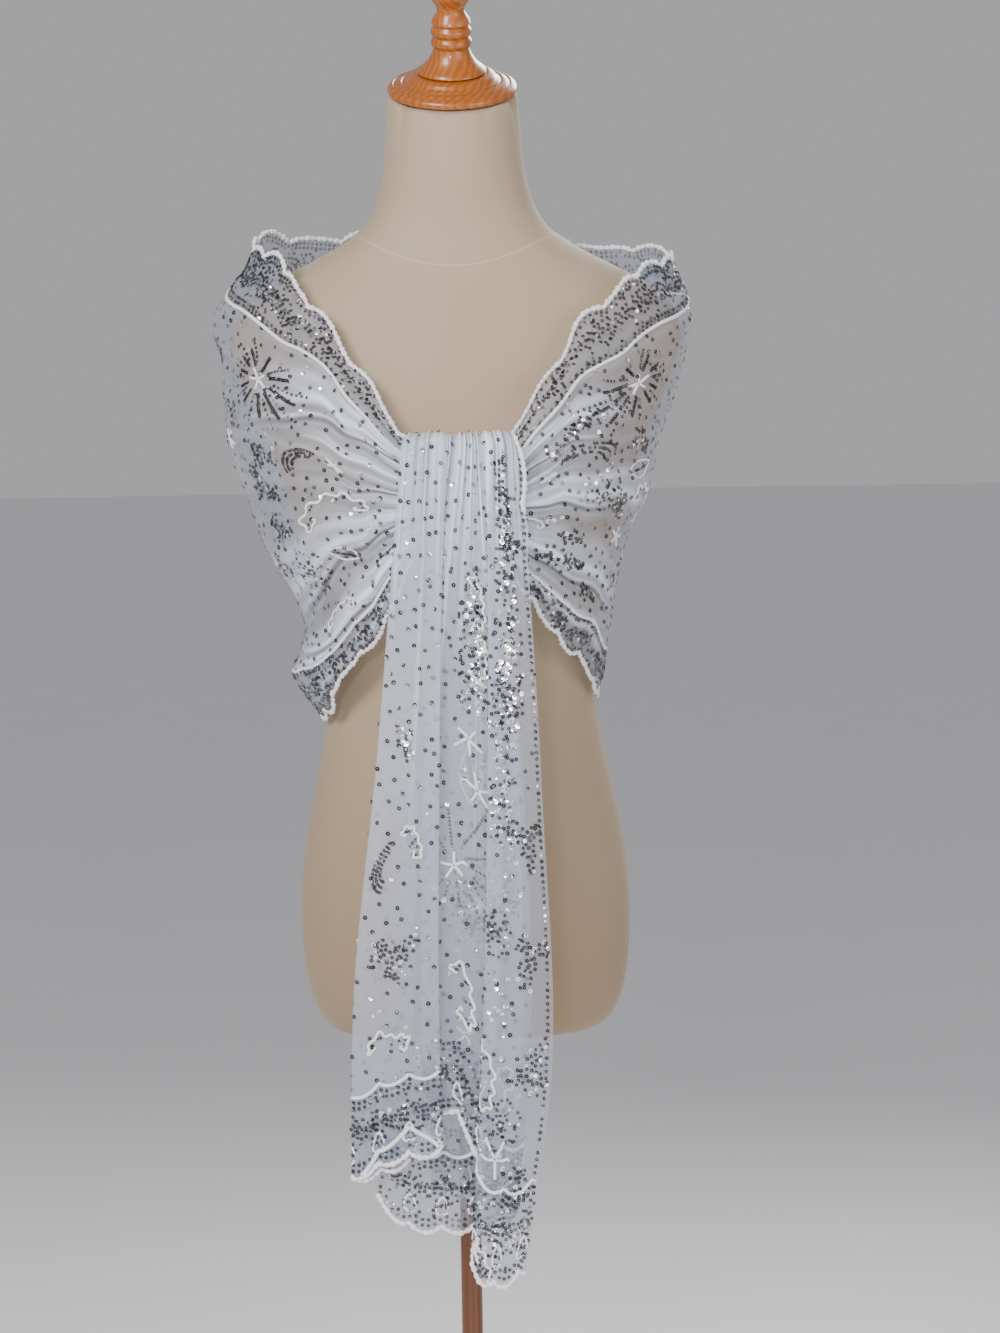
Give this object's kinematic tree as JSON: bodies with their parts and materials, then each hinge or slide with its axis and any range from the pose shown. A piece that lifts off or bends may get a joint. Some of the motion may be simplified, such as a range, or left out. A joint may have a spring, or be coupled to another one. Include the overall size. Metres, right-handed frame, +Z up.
{
  "type": "lace shawl on a dress form",
  "caption": "Sheer lace shawl with scalloped edges, wrapped round a limbless dress form and tied in front, on a turned wooden stand.",
  "frame": {"origin": "centre of the stand base's underside, on the floor", "axes": "+Z up, the form faces -Y, +X to the viewer's right"},
  "size_m": [0.3907, 0.3407, 1.6515],
  "materials": {
    "net": "sheer tulle net with embroidery and sequins",
    "white_cord": "piped white cord",
    "form_cover": "smooth matt stretched cover",
    "turned_wood": "clear gloss varnish"
  },
  "bodies": {
    "root": {"wing_left": "net", "wing_right": "net", "back_wrap": "net", "knot_core": "net", "front_end": "net", "rear_end": "net", "seam_cord_left": "white_cord", "seam_cord_right": "white_cord", "dress_form": "form_cover", "neck_cap": "turned_wood", "neck_finial": "turned_wood", "stand_collar": "turned_wood", "stand_pole": "turned_wood", "stand_base": "turned_wood"}
  },
  "joints": []
}
